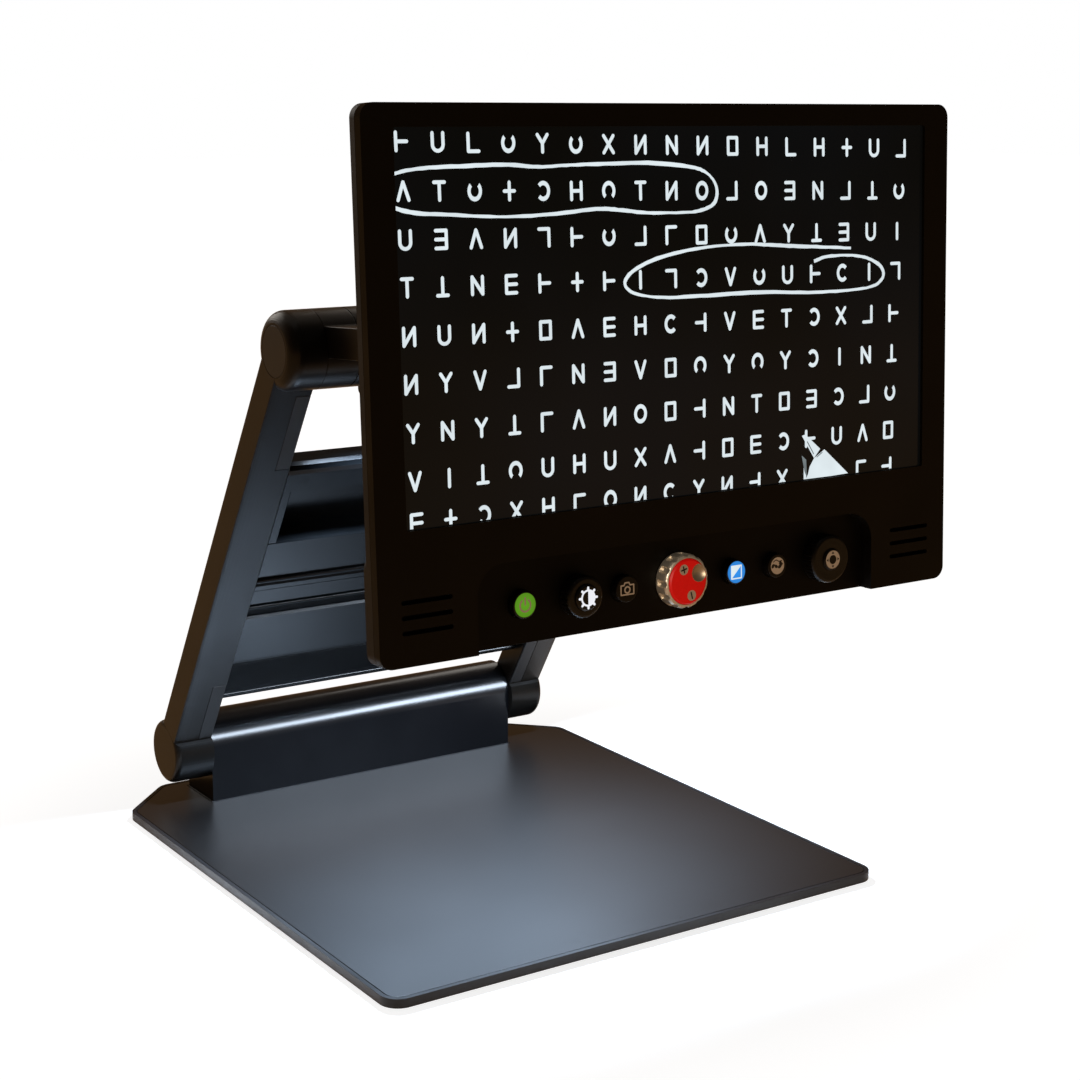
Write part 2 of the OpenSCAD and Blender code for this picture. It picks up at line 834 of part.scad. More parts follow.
module control_board() {
    color("darkgreen") on_monitor() {
        depth(board_depth, board_depth + 1.6) round_rect(-135, 11.5, 135, 44, 2);
        for (x = button_x) rod_y(board_depth - 0.6, board_depth + eps, 3.4, x, row_z);
    }
}

module dial_encoders() {
    color("silver") on_monitor() for (x = dial_x) difference() {
        rod_y(recess_d + tray_floor + 0.1, board_depth, 6.5, x, row_z);
        rod_y(recess_d, board_depth + 1, dial_shaft_r + fit, x, row_z);
    }
}

// ---------- controls ----------

module button(i) {
    f = 0.8;
    translate([button_x[i], 0, row_z]) rotate([-90, 0, 0]) {
        translate([0, 0, button_face]) rotate_extrude() polygon([
            [0, 0], [button_r[i] - f, 0], [button_r[i] - f * 0.3, f * 0.3], [button_r[i], f],
            [button_r[i], recess_d + tray_floor + 0.3 - button_face],
            [button_r[i] + 1.2, recess_d + tray_floor + 0.3 - button_face],
            [button_r[i] + 1.2, recess_d + tray_floor + 1.2 - button_face],
            [2, recess_d + tray_floor + 1.2 - button_face],
            [2, board_depth - 0.7 - press - button_face], [0, board_depth - 0.7 - press - button_face],
        ]);
    }
}

module power_button() {
    color("#4f9a3c") on_monitor() button(0);
}

module camera_button() {
    color("#1a1a1a") on_monitor() button(1);
}

module contrast_button() {
    color("#1f6fd0") on_monitor() button(2);
}

module locator_button() {
    color("#1a1a1a") on_monitor() button(3);
}

// a knob of radius r with a ring of n grooves of radius g round its side, and a cap pocket
module knob(i, n, g, face, cap) {
    r = dial_r[i];
    translate([dial_x[i], 0, row_z]) rotate([-90, 0, 0]) difference() {
        union() {
            translate([0, 0, face]) rotate_extrude() polygon([
                [0, 0], [r - 2.2, 0], [r - 0.8, 0.7], [r, 2.2], [r, dial_base - face],
                [0, dial_base - face],
            ]);
            translate([0, 0, dial_base - eps]) cylinder(h = board_depth - 1 - dial_base, r = dial_shaft_r);
        }
        for (k = [1:n]) rotate([0, 0, k * 360 / n]) translate([r + g * 0.45, 0, face - 1])
            cylinder(h = dial_base - face - 0.6, r = g, $fn = 24);
        translate([0, 0, face - 1]) cylinder(h = 3, r = cap + 0.1);
    }
}

module brightness_dial() {
    color("#1a1a1c") on_monitor() knob(0, 24, 0.9, 0, 8);
}

module brightness_cap() {
    color("#f0f0f0") on_monitor() translate([dial_x[0], 0, row_z]) rotate([-90, 0, 0])
        translate([0, 0, -2]) rotate_extrude()
            polygon([[0, 0], [6.8, 0], [7.8, 1], [8, 2], [8, 3.9], [0, 3.9]]);
}

module zoom_dial() {
    color("silver") on_monitor() knob(1, 12, 2.6, 0, 14);
}

module zoom_face() {
    color("#b3201c") on_monitor() translate([dial_x[1], 0, row_z]) rotate([-90, 0, 0]) difference() {
        translate([0, 0, -1.2]) rotate_extrude()
            polygon([[0, 0], [12.8, 0], [13.8, 0.8], [14, 1.6], [14, 3.1], [0, 3.1]]);
        translate([8, -4.6, -6.6]) sphere(r = 7.6);
    }
}

module arrow_dial() {
    color("#151517") on_monitor() knob(2, 36, 0.8, -0.5, 7);
}

module arrow_cap() {
    color("#1a1a1a") on_monitor() translate([dial_x[2], 0, row_z]) rotate([-90, 0, 0])
        translate([0, 0, -2]) rotate_extrude()
            polygon([[0, 0], [6, 0], [6.8, 0.8], [7, 1.6], [7, 3.4], [0, 3.4]]);
}

base_plate();
reading_mat();
base_feet();
base_screws();
rear_housing();
housing_back_cover();
power_inlet();
data_port();
power_board();
counter_springs();
lower_hinge_shafts();
left_arm();
right_arm();
left_foot_knuckle();
right_foot_knuckle();
left_knuckle_cap();
right_knuckle_cap();
upper_cover_strips();
lower_cover_strips();
arm_spines();
back_panel();
crossbar_tube();
crossbar_ends();
upper_hinge_shafts();
camera_head();
camera_board();
lens_barrel();
lens_glass();
camera_window();
light_bars();
led_boards();
light_diffusers();
left_link();
right_link();
link_bushes();
link_brace();
tilt_bar();
tilt_bar_collars();
left_hinge_bracket();
right_hinge_bracket();
monitor_bezel();
display_glass();
display_module();
monitor_back();
back_screws();
main_board();
speakers();
control_tray();
control_board();
dial_encoders();
power_button();
camera_button();
contrast_button();
locator_button();
brightness_dial();
brightness_cap();
zoom_dial();
zoom_face();
arrow_dial();
arrow_cap();
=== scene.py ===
import json
import math
import random

import bmesh
import bpy
from mathutils import Matrix, Vector


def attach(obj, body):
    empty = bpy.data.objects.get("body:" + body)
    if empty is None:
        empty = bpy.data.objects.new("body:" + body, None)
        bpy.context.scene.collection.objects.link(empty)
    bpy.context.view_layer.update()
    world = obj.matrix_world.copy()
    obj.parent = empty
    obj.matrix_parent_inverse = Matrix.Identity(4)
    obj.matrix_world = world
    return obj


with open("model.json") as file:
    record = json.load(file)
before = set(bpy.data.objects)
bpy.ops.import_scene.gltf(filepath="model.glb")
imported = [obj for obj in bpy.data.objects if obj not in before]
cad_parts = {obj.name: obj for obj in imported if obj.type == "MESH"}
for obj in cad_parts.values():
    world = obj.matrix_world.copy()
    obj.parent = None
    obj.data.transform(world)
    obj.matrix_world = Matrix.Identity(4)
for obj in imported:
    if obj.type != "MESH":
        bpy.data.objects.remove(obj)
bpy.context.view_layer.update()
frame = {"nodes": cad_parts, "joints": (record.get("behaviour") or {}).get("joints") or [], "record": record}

MM = 0.001
scene = bpy.context.scene
scene.view_settings.view_transform = "Standard"

# ---------------------------------------------------------------- camera
# fitted to the photograph: place, heading right of +Y, dip below the horizon, roll, lens
CAM_AT = Vector((-0.72875, -1.15376, 0.5226))
CAM_YAW, CAM_PITCH, CAM_ROLL = (math.radians(a) for a in (33.84, 12.35, -0.41))
CAM_LENS, CAM_SENSOR = 67.84, 36
CAM_NEAR, CAM_FAR = 0.05, 60

ahead = Vector((math.sin(CAM_YAW) * math.cos(CAM_PITCH),
                math.cos(CAM_YAW) * math.cos(CAM_PITCH), -math.sin(CAM_PITCH)))
level = Vector((math.cos(CAM_YAW), -math.sin(CAM_YAW), 0))
below = ahead.cross(level)
cam_x = level * math.cos(CAM_ROLL) + below * math.sin(CAM_ROLL)
cam_down = below * math.cos(CAM_ROLL) - level * math.sin(CAM_ROLL)
cam_data = bpy.data.cameras.new("camera")
cam_data.sensor_width = CAM_SENSOR
cam_data.lens = CAM_LENS
cam_data.clip_start, cam_data.clip_end = CAM_NEAR, CAM_FAR
camera = bpy.data.objects.new("camera", cam_data)
scene.collection.objects.link(camera)
turn = Matrix((cam_x, -cam_down, -ahead)).transposed().to_4x4()
camera.matrix_world = Matrix.Translation(CAM_AT) @ turn
scene.camera = camera


# ---------------------------------------------------------------- colour and shaders
def lin(r, g, b):
    """A colour given as 0-255 screen values, as the shader wants it."""
    out = []
    for c in (r, g, b):
        c /= 255
        out.append(c / 12.92 if c <= 0.04045 else ((c + 0.055) / 1.055) ** 2.4)
    return (*out, 1.0)


def shade(colour, k):
    """The colour, k times as bright."""
    return (*(min(1.0, c * k) for c in colour[:3]), 1.0)


def set_range(node, a, b, c, d):
    """Makes a Map Range node map a..b to c..d."""
    for socket, number in zip(("From Min", "From Max", "To Min", "To Max"), (a, b, c, d)):
        node.inputs[socket].default_value = number


class Nodes:
    """A short way to build a material's shader tree, in the object's own coordinates."""

    def __init__(self, name):
        self.mat = bpy.data.materials.new(name)
        self.mat.use_nodes = True
        self.tree = self.mat.node_tree
        self.tree.nodes.clear()
        self.out = self.new("ShaderNodeOutputMaterial")
        self.bsdf = self.new("ShaderNodeBsdfPrincipled")
        self.link(self.bsdf.outputs["BSDF"], self.out.inputs["Surface"])
        self.where = self.new("ShaderNodeTexCoord").outputs["Object"]

    def new(self, kind, **settings):
        node = self.tree.nodes.new(kind)
        for key, value in settings.items():
            setattr(node, key, value)
        return node

    def link(self, a, b):
        self.tree.links.new(a, b)

    def feed(self, socket, value):
        if isinstance(value, bpy.types.NodeSocket):
            self.link(value, socket)
        else:
            socket.default_value = value

    def noise(self, scale, detail=2.0, rough=0.5, offset=None):
        where = self.where
        if offset:
            place = self.new("ShaderNodeMapping")
            self.link(where, place.inputs["Vector"])
            place.inputs["Location"].default_value = offset
            where = place.outputs["Vector"]
        tex = self.new("ShaderNodeTexNoise")
        self.link(where, tex.inputs["Vector"])
        tex.inputs["Scale"].default_value = scale
        tex.inputs["Detail"].default_value = detail
        tex.inputs["Roughness"].default_value = rough
        return tex.outputs["Fac"]

    def cells(self, scale):
        tex = self.new("ShaderNodeTexVoronoi")
        self.link(self.where, tex.inputs["Vector"])
        tex.inputs["Scale"].default_value = scale
        return tex.outputs["Distance"]

    def span(self, value, a, b, c, d):
        """Maps a..b to c..d and holds the ends."""
        node = self.new("ShaderNodeMapRange")
        set_range(node, a, b, c, d)
        self.link(value, node.inputs["Value"])
        return node.outputs["Result"]

    def math(self, operation, a, b):
        node = self.new("ShaderNodeMath", operation=operation)
        self.feed(node.inputs[0], a)
        self.feed(node.inputs[1], b)
        return node.outputs[0]

    def mix(self, fac, a, b):
        """A colour mix: a where fac is 0, b where it is 1."""
        node = self.new("ShaderNodeMix", data_type="RGBA")
        self.feed(node.inputs[0], fac)
        self.feed(node.inputs[6], a)
        self.feed(node.inputs[7], b)
        return node.outputs[2]

    def distance(self, point):
        """How far the surface is from a point given in metres, in the object's own frame."""
        shift = self.new("ShaderNodeVectorMath", operation="SUBTRACT")
        self.link(self.where, shift.inputs[0])
        shift.inputs[1].default_value = point
        length = self.new("ShaderNodeVectorMath", operation="LENGTH")
        self.link(shift.outputs[0], length.inputs[0])
        return length.outputs["Value"]

    def bump(self, height, depth_mm):
        node = self.new("ShaderNodeBump")
        node.inputs["Distance"].default_value = depth_mm * MM
        node.inputs["Strength"].default_value = 1.0
        self.link(height, node.inputs["Height"])
        return node.outputs["Normal"]

    def recolour(self, where, colour):
        """Lays a colour over the base colour where the value is 1."""
        base = self.bsdf.inputs["Base Color"]
        self.link(self.mix(where, base.links[0].from_socket, colour), base)


COAT_ROUGH = 0.12
SPECK_GAIN = 1.9                # how much brighter the fine specks are than the tone under them
GLOW_DIM = 0.94


def moulded(name, colour, rough=0.45, spec=0.5, mottle=0.18, patch=22.0, smudge=0.07,
            grain=900.0, grain_mm=0.02, leather=0.0, metal=0.0, coat=0.0, glow=None, strength=0.0):
    """A moulded, painted or metal surface: tone that drifts, handled patches, and a fine grain."""
    n = Nodes(name)
    tone = n.span(n.noise(patch, 4.0, 0.55), 0.3, 0.7, 0.0, 1.0)
    speck = n.span(n.noise(grain * 0.6, 1.0), 0.35, 0.65, 0.0, 1.0)
    base = n.mix(tone, shade(colour, 1 - mottle), shade(colour, 1 + mottle))
    specks = n.mix(n.math("MULTIPLY", speck, mottle), base, shade(colour, SPECK_GAIN))
    n.link(specks, n.bsdf.inputs["Base Color"])
    worn = n.noise(patch * 0.6, 3.0, 0.6, offset=(0.31, 0.17, 0.53))
    handled = n.span(worn, 0.3, 0.7, max(0.04, rough - smudge), min(1.0, rough + smudge))
    n.link(handled, n.bsdf.inputs["Roughness"])
    height = n.noise(grain, 2.0, 0.6)
    if leather:
        pebble = n.span(n.cells(leather), 0.0, 0.6, 1.0, 0.0)
        height = n.math("ADD", n.math("MULTIPLY", height, 0.35), pebble)
    n.link(n.bump(height, grain_mm), n.bsdf.inputs["Normal"])
    n.bsdf.inputs["Specular IOR Level"].default_value = spec
    n.bsdf.inputs["Metallic"].default_value = metal
    n.bsdf.inputs["Coat Weight"].default_value = coat
    n.bsdf.inputs["Coat Roughness"].default_value = COAT_ROUGH
    if glow:
        n.link(n.mix(tone, shade(glow, GLOW_DIM), glow), n.bsdf.inputs["Emission Color"])
        n.bsdf.inputs["Emission Strength"].default_value = strength
    return n


COOL_WHITE = (0.72, 0.84, 1.0)
LOOKS = {
    # slot: colour (screen values), then what differs from the defaults of moulded()
    "plate_paint": ((24, 22, 22), dict(rough=0.4, spec=0.45, grain=1400, grain_mm=0.012)),
    "mat_skin": ((8, 6, 5), dict(rough=0.37, spec=0.8, smudge=0.008, patch=9.0, grain=2600,
                                 grain_mm=0.02, mottle=0.12)),
    "foot_rubber": ((18, 18, 18), dict(rough=0.75, spec=0.25)),
    "steel": ((150, 150, 152), dict(rough=0.28, metal=1.0, grain=1500, grain_mm=0.004)),
    "arm_shell": ((16, 13, 10), dict(rough=0.32, spec=0.28, smudge=0.04, grain=1500, grain_mm=0.008)),
    "housing_shell": ((5, 5, 6), dict(rough=0.22, spec=0.32, smudge=0.03, grain=1300, grain_mm=0.008)),
    "panel_shell": ((5, 6, 7), dict(rough=0.24, spec=0.3, smudge=0.03, grain=1300, grain_mm=0.006)),
    "trim_shell": ((24, 22, 21), dict(rough=0.46, spec=0.4, grain=1500, grain_mm=0.012)),
    "bush_bronze": ((120, 88, 52), dict(rough=0.4, metal=1.0)),
    "circuit_board": ((22, 60, 34), dict(rough=0.5)),
    "port_metal": ((170, 170, 172), dict(rough=0.3, metal=1.0)),
    "camera_black": ((15, 15, 16), dict(rough=0.5, spec=0.35)),
    "lens_glass": ((12, 16, 26), dict(rough=0.06, spec=0.8, coat=1.0, grain_mm=0.0005)),
    "window_glass": ((10, 12, 14), dict(rough=0.08, spec=0.7, coat=0.6, grain_mm=0.0005)),
    "diffuser": ((235, 232, 222), dict(rough=0.6, glow=(*COOL_WHITE, 1.0), strength=6.0)),
    "bezel_plastic": ((17, 15, 11), dict(rough=0.5, spec=0.16, grain=1700, grain_mm=0.014, mottle=0.12)),
    "back_plastic": ((17, 16, 15), dict(rough=0.56, spec=0.32, leather=1500, grain_mm=0.03)),
    "display_frame": ((12, 12, 12), dict(rough=0.6, spec=0.25)),
    "speaker_black": ((34, 30, 24), dict(rough=0.8, spec=0.15)),
    "tray_plastic": ((14, 13, 11), dict(rough=0.55, spec=0.14, grain=1500, grain_mm=0.02)),
    "dark_key": ((14, 13, 12), dict(rough=0.45, spec=0.3)),
    "dial_black": ((11, 10, 9), dict(rough=0.36, spec=0.4, grain=1100)),
    "ring_silver": ((196, 184, 166), dict(rough=0.36, metal=0.75, grain=1300, grain_mm=0.006)),
    "cap_black": ((14, 14, 15), dict(rough=0.4, spec=0.35)),
    "cap_pale": ((16, 17, 24), dict(rough=0.35, spec=0.4)),
}

# ---------------------------------------------------------------- places on the CAD
# the monitor's face, in mm: across from its middle, up from its lower edge, and in from the bezel
POWER_X, BRIGHTNESS_X, CAMERA_X = -112.6, -73.5, -41.0
CONTRAST_X, LOCATOR_X, ARROW_X = 41.0, 73.5, 113.0
ROW_UP = 23.5                   # the row of controls
ZOOM_IN = 5.0                   # depth of the zoom joint
KEY, CAP, FACE = 4.5, -2.0, -1.2    # depths of the key faces, the dial caps and the red face
POWER_RIM, CONTRAST_RIM = 7.0, 6.7  # where each lit key's dark rim begins
RIM_BLEND = 0.15
DIMPLE = (8.0, 28.1, -6.6)      # centre of the ball that hollows the finger dimple
DIMPLE_RED, DIMPLE_BARE = 7.78, 7.66    # from the centre: the paint's edge, and bare metal

joints = {j["name"]: j for j in frame["joints"]}
OUT = Vector(joints["zoom_turn"]["axis"]).normalized()      # out of the screen
RIGHT = Vector((1, 0, 0))
UP = OUT.cross(RIGHT) * -1 if OUT.cross(RIGHT).z < 0 else OUT.cross(RIGHT)
SCREEN = Vector(joints["zoom_turn"]["pos_m"]) + OUT * ZOOM_IN * MM - UP * ROW_UP * MM


def on_screen(u, v, inward):
    """A point given in mm across, up and into the monitor's face."""
    return SCREEN + (RIGHT * u + UP * v - OUT * inward) * MM


# ---------------------------------------------------------------- CAD nodes: finishes
def key_face(name, colour, glow, rim_r, x, strength):
    """A coloured lens in a dark rim: the mark is in the key's own frame, so it rides with the key."""
    n = moulded(name, colour, rough=0.32, spec=0.4, mottle=0.06, grain_mm=0.004)
    off = n.distance(on_screen(x, ROW_UP, KEY))
    rim = n.span(off, (rim_r - RIM_BLEND) * MM, (rim_r + RIM_BLEND) * MM, 0.0, 1.0)
    n.recolour(rim, lin(10, 9, 8))
    lit_lens = n.mix(n.span(off, 0.0, rim_r * MM, 0.0, 1.0), glow, shade(glow, 0.72))
    n.link(n.mix(rim, lit_lens, (0, 0, 0, 1)), n.bsdf.inputs["Emission Color"])
    n.bsdf.inputs["Emission Strength"].default_value = strength
    return n.mat


def zoom_red():
    """Red face with the finger dimple left as bare metal."""
    n = moulded("face_red", lin(205, 10, 8), rough=0.42, spec=0.25, mottle=0.08, grain=1200, grain_mm=0.006)
    bare = n.span(n.distance(on_screen(*DIMPLE)), DIMPLE_BARE * MM, DIMPLE_RED * MM, 1.0, 0.0)
    n.recolour(bare, lin(168, 150, 126))
    n.link(n.math("MULTIPLY", bare, 0.85), n.bsdf.inputs["Metallic"])
    return n.mat


def display():
    """The picture's black: a little light leaks through the panel."""
    n = moulded("display_glass", lin(7, 7, 7), rough=0.2, spec=0.2, smudge=0.03, mottle=0.05, grain_mm=0.001)
    leak = n.span(n.noise(6.0), 0.35, 0.65, 0, 1)
    n.link(n.mix(leak, lin(13, 13, 11), lin(16, 18, 20)), n.bsdf.inputs["Emission Color"])
    n.bsdf.inputs["Emission Strength"].default_value = 0.55
    return n.mat


MATS = {slot: moulded(slot, lin(*colour), **extra).mat for slot, (colour, extra) in LOOKS.items()}
MATS["green_key"] = key_face("green_key", lin(86, 150, 34), lin(95, 170, 36), POWER_RIM, POWER_X, 0.75)
MATS["blue_key"] = key_face("blue_key", lin(22, 90, 180), lin(42, 146, 240), CONTRAST_RIM, CONTRAST_X, 1.0)
MATS["face_red"] = zoom_red()
MATS["display_glass"] = display()
# these surfaces only look lit: the light bars and the soft boxes do the lighting
for slot in ("green_key", "blue_key", "display_glass", "diffuser"):
    MATS[slot].cycles.emission_sampling = "NONE"

slot_of = {s["node"]: s["material_slot"] for s in frame["record"]["subparts"]}
for node, slot in slot_of.items():
    data = frame["nodes"][node].data
    data.materials.clear()
    data.materials.append(MATS[slot])

# ---------------------------------------------------------------- CAD nodes: soft edges
smooth = bpy.data.node_groups.new("smooth_faces", "GeometryNodeTree")
smooth.interface.new_socket("Geometry", in_out="INPUT", socket_type="NodeSocketGeometry")
smooth.interface.new_socket("Geometry", in_out="OUTPUT", socket_type="NodeSocketGeometry")
g_in, g_out = smooth.nodes.new("NodeGroupInput"), smooth.nodes.new("NodeGroupOutput")
g_set = smooth.nodes.new("GeometryNodeSetShadeSmooth")
smooth.links.new(g_in.outputs[0], g_set.inputs[0])
smooth.links.new(g_set.outputs[0], g_out.inputs[0])

# width of the rounded edge in mm; the curved shells that aren't named keep the CAD's own shading
EDGES = {
    "monitor_bezel": 1.2, "monitor_back": 1.2, "control_tray": 0.5,
    "housing_back_cover": 0.5, "base_plate": 0.7, "reading_mat": 0.3, "base_feet": 0.5,
    "upper_cover_strips": 0.4, "lower_cover_strips": 0.4, "crossbar_ends": 0.5,
    "camera_head": 0.8, "light_bars": 0.8, "left_link": 0.8, "right_link": 0.8, "link_brace": 0.8,
    "left_hinge_bracket": 0.8, "right_hinge_bracket": 0.8, "tilt_bar": 0.4, "tilt_bar_collars": 0.5,
    "left_knuckle_cap": 0.3, "right_knuckle_cap": 0.3, "arm_spines": 0.3, "power_button": 0.4,
    "camera_button": 0.4, "contrast_button": 0.4, "locator_button": 0.4, "brightness_dial": 0.3,
    "zoom_dial": 0.4, "arrow_dial": 0.3,
}
WELD_M = 1e-6
FLAT_WITHIN, SHARP_FROM = math.radians(0.4), math.radians(35)
FACE_WEIGHT = 90
for node, width in EDGES.items():
    obj = frame["nodes"][node]
    weld = obj.modifiers.new("weld", "WELD")
    weld.merge_threshold = WELD_M
    flat = obj.modifiers.new("flat", "DECIMATE")
    flat.decimate_type = "DISSOLVE"
    flat.angle_limit = FLAT_WITHIN
    bevel = obj.modifiers.new("edge", "BEVEL")
    bevel.width = width * MM
    bevel.segments = 2
    bevel.limit_method = "ANGLE"
    bevel.angle_limit = SHARP_FROM
    bevel.use_clamp_overlap = True
    bevel.miter_outer = "MITER_ARC"
    shading = obj.modifiers.new("smooth", "NODES")
    shading.node_group = smooth
    normals = obj.modifiers.new("normals", "WEIGHTED_NORMAL")
    normals.weight = FACE_WEIGHT
    normals.keep_sharp = False


# ---------------------------------------------------------------- flat marks on the monitor
def on_arc(x, y, r, t, squash=1.0):
    return (x + r * math.cos(t), y + r * squash * math.sin(t))


class Marks:
    """Thin raised marks on the monitor's face, drawn in mm across and up."""
    HAIR, HAIRS = 0.004, 7      # each solid stands a hair off the last, so crossing strokes share no face
    JOIN = 1e-4

    def __init__(self, name, body, slot, material, front, thick, clip=None):
        self.args = (name, body, slot, material)
        self.front, self.thick, self.clip = front, thick, clip
        self.bm = bmesh.new()
        self.count = 0

    def cut(self, points):
        """Keeps what is above the clip height, if there is one."""
        if self.clip is None:
            return points
        kept = []
        for a, b in zip(points, points[1:] + points[:1]):
            if a[1] >= self.clip:
                kept.append(a)
            if (a[1] - self.clip) * (b[1] - self.clip) < 0:
                k = (self.clip - a[1]) / (b[1] - a[1])
                kept.append((a[0] + (b[0] - a[0]) * k, self.clip))
        return kept

    def faces(self, polygons):
        """One closed thin solid from polygons that share their edges."""
        step = (self.count % self.HAIRS) * self.HAIR
        self.count += 1
        bm = bmesh.new()
        for polygon in polygons:
            points = self.cut([tuple(p) for p in polygon])
            if len(points) > 2:
                bm.faces.new([bm.verts.new((x, y, self.front - step)) for x, y in points])
        bmesh.ops.remove_doubles(bm, verts=bm.verts, dist=self.JOIN)
        bmesh.ops.dissolve_degenerate(bm, edges=bm.edges, dist=self.JOIN)
        made = bmesh.ops.extrude_face_region(bm, geom=bm.faces[:])
        lower = [v for v in made["geom"] if isinstance(v, bmesh.types.BMVert)]
        bmesh.ops.translate(bm, verts=lower, vec=(0, 0, self.thick + step))
        bmesh.ops.recalc_face_normals(bm, faces=bm.faces)
        mesh = bpy.data.meshes.new("part")
        bm.to_mesh(mesh)
        bm.free()
        self.bm.from_mesh(mesh)
        bpy.data.meshes.remove(mesh)

    def disc(self, x, y, r, n):
        self.faces([[on_arc(x, y, r, 2 * math.pi * i / n) for i in range(n)]])

    def ring(self, x, y, outer, inner, a=0.0, b=360.0, squash=1.0, n=24):
        """A ring or an arc from a to b degrees, anticlockwise from the right."""
        turns = [math.radians(a + (b - a) * i / n) for i in range(n + 1)]
        rim = [[on_arc(x, y, r, t, squash) for t in turns] for r in (outer, inner)]
        self.faces([[rim[0][i], rim[0][i + 1], rim[1][i + 1], rim[1][i]] for i in range(n)])

    def bar(self, x0, y0, x1, y1, w, caps=4):
        """A straight stroke with round ends."""
        a = math.atan2(y1 - y0, x1 - x0)
        points = []
        for cx, cy, start in ((x1, y1, a - math.pi / 2), (x0, y0, a + math.pi / 2)):
            points += [on_arc(cx, cy, w / 2, start + math.pi * i / caps) for i in range(caps + 1)]
        self.faces([points])

    def ribbon(self, points, widths):
        """A drawn line through points, as a strip of its own width at each."""
        left, right = [], []
        for i, (x, y) in enumerate(points):
            before, after = points[max(i - 1, 0)], points[min(i + 1, len(points) - 1)]
            dx, dy = after[0] - before[0], after[1] - before[1]
            size = math.hypot(dx, dy) or 1.0
            w = widths[i] / 2
            left.append((x - dy / size * w, y + dx / size * w))
            right.append((x + dy / size * w, y - dx / size * w))
        self.faces([[left[i], right[i], right[i + 1], left[i + 1]] for i in range(len(points) - 1)])

    def build(self):
        name, body, slot, material = self.args
        place = Matrix((RIGHT, UP, -OUT)).transposed().to_4x4()
        for v in self.bm.verts:
            v.co = SCREEN + (place @ (v.co * MM))
        bmesh.ops.reverse_faces(self.bm, faces=self.bm.faces[:])   # depth runs inward, which mirrors the marks
        mesh = bpy.data.meshes.new(name)
        self.bm.to_mesh(mesh)
        self.bm.free()
        mesh.materials.append(material)
        obj = bpy.data.objects.new(name, mesh)
        scene.collection.objects.link(obj)
        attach(obj, body)


def rounded_path(points, steps=6):
    """A smooth line through points."""
    out = []
    ends = [points[0]] + points + [points[-1]]
    for i in range(1, len(ends) - 2):
        p0, p1, p2, p3 = (Vector(p) for p in ends[i - 1:i + 3])
        for k in range(steps):
            t = k / steps
            q = 0.5 * (2 * p1 + (p2 - p0) * t + (2 * p0 - 5 * p1 + 4 * p2 - p3) * t ** 2
                       + (3 * p1 - p0 - 3 * p2 + p3) * t ** 3)
            out.append((q.x, q.y))
    out.append(points[-1])
    return out


def lit(name, colour, strength, dim=0.9):
    """Lit marks of the display and keys, with the slight unevenness of a backlight."""
    n = Nodes(name)
    uneven = n.span(n.noise(45.0), 0.35, 0.65, 0, 1)
    n.link(n.mix(uneven, shade(colour, dim), colour), n.bsdf.inputs["Emission Color"])
    n.bsdf.inputs["Emission Strength"].default_value = strength
    n.bsdf.inputs["Base Color"].default_value = (0.02, 0.02, 0.02, 1)
    n.link(n.span(n.noise(900.0), 0.3, 0.7, 0.35, 0.5), n.bsdf.inputs["Roughness"])
    n.mat.cycles.emission_sampling = "NONE"
    return n.mat


white_lit = lit("picture_white", lin(226, 238, 243), 1.0)
# beige print with a painted glow: a faint emission makes the print look brighter, though the print is no lamp
print_beige_painted_glow = moulded("print_beige_painted_glow", lin(188, 170, 146), rough=0.5, mottle=0.08, grain_mm=0.004,
                      glow=lin(150, 130, 108), strength=0.35).mat
print_dark = moulded("print_dark", lin(14, 13, 12), rough=0.5, grain_mm=0.004).mat
nib_grey = lit("picture_grey", lin(120, 132, 136), 1.0, 0.5)

